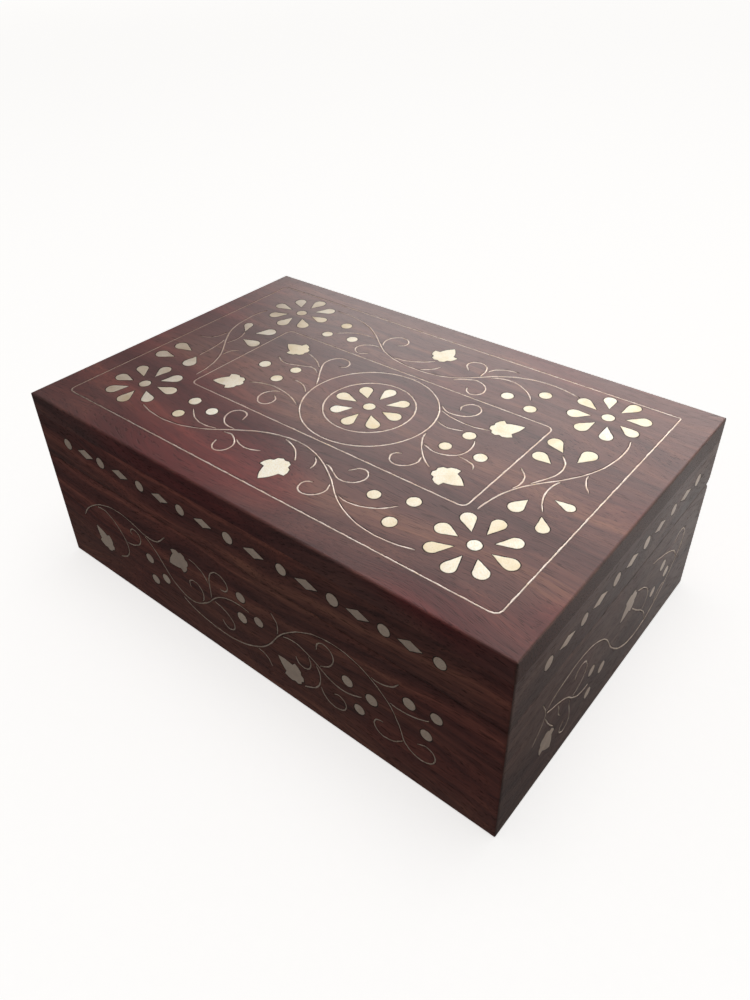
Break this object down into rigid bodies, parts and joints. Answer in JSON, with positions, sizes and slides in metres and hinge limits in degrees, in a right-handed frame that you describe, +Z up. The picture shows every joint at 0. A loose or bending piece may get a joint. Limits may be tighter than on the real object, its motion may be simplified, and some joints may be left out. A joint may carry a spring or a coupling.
{
  "type": "hinged wooden trinket box",
  "caption": "Rectangular hinged rosewood box with mitred walls, velvet lining, and flowers, vines and borders inlaid in brass wire and bone.",
  "frame": {"origin": "centre of the box's footprint on the surface it stands on", "axes": "+X to the right along the front, +Y to the hinged back, +Z up"},
  "size_m": [0.152, 0.1, 0.056],
  "materials": {
    "rosewood": "dark oiled and polished rosewood with fine open grain",
    "wire_brass": "fine brass strip set on edge and rubbed flush with the wood",
    "bone": "polished cream bone plates with fine grain and a dark glue line",
    "hinge_brass": "plain drawn brass, slightly dulled",
    "velvet": "short pile velvet glued to card"
  },
  "bodies": {
    "case": {"front_wall": "rosewood", "back_wall": "rosewood", "left_wall": "rosewood", "right_wall": "rosewood", "base_board": "rosewood", "base_lining": "velvet", "wall_lining": "velvet", "front_wall_vine": "wire_brass", "back_wall_vine": "wire_brass", "left_wall_vine": "wire_brass", "right_wall_vine": "wire_brass", "front_wall_leaves": "bone", "back_wall_leaves": "bone", "left_wall_leaves": "bone", "right_wall_leaves": "bone", "front_wall_berries": "bone", "back_wall_berries": "bone", "left_wall_berries": "bone", "right_wall_berries": "bone", "left_hinge_case_leaf": "hinge_brass", "left_hinge_pin": "hinge_brass", "right_hinge_case_leaf": "hinge_brass", "right_hinge_pin": "hinge_brass", "hinge_screws_case": "hinge_brass"},
    "lid": {"lid_top_panel": "rosewood", "lid_front_rim": "rosewood", "lid_back_rim": "rosewood", "lid_left_rim": "rosewood", "lid_right_rim": "rosewood", "lid_lining": "velvet", "outer_border_wire": "wire_brass", "inner_border_wire": "wire_brass", "medallion_outer_ring": "wire_brass", "medallion_inner_ring": "wire_brass", "medallion_flower": "bone", "flower_back_left": "bone", "flower_back_right": "bone", "flower_front_left": "bone", "flower_front_right": "bone", "lid_drop_petals": "bone", "lid_leaves": "bone", "lid_berries": "bone", "vine_front": "wire_brass", "vine_back": "wire_brass", "vine_left": "wire_brass", "vine_right": "wire_brass", "vine_medallion_left": "wire_brass", "vine_medallion_right": "wire_brass", "front_rim_lozenges": "bone", "back_rim_lozenges": "bone", "left_rim_lozenges": "bone", "right_rim_lozenges": "bone", "front_rim_dots": "bone", "back_rim_dots": "bone", "left_rim_dots": "bone", "right_rim_dots": "bone", "left_hinge_lid_leaf": "hinge_brass", "right_hinge_lid_leaf": "hinge_brass", "hinge_screws_lid": "hinge_brass"}
  },
  "joints": [
    {"name": "lid_hinge", "type": "hinge", "parent": "case", "child": "lid", "pos_m": [0, 0.04825, 0.0363], "axis": [-1, 0, 0], "range_deg": [0, 104]}
  ]
}
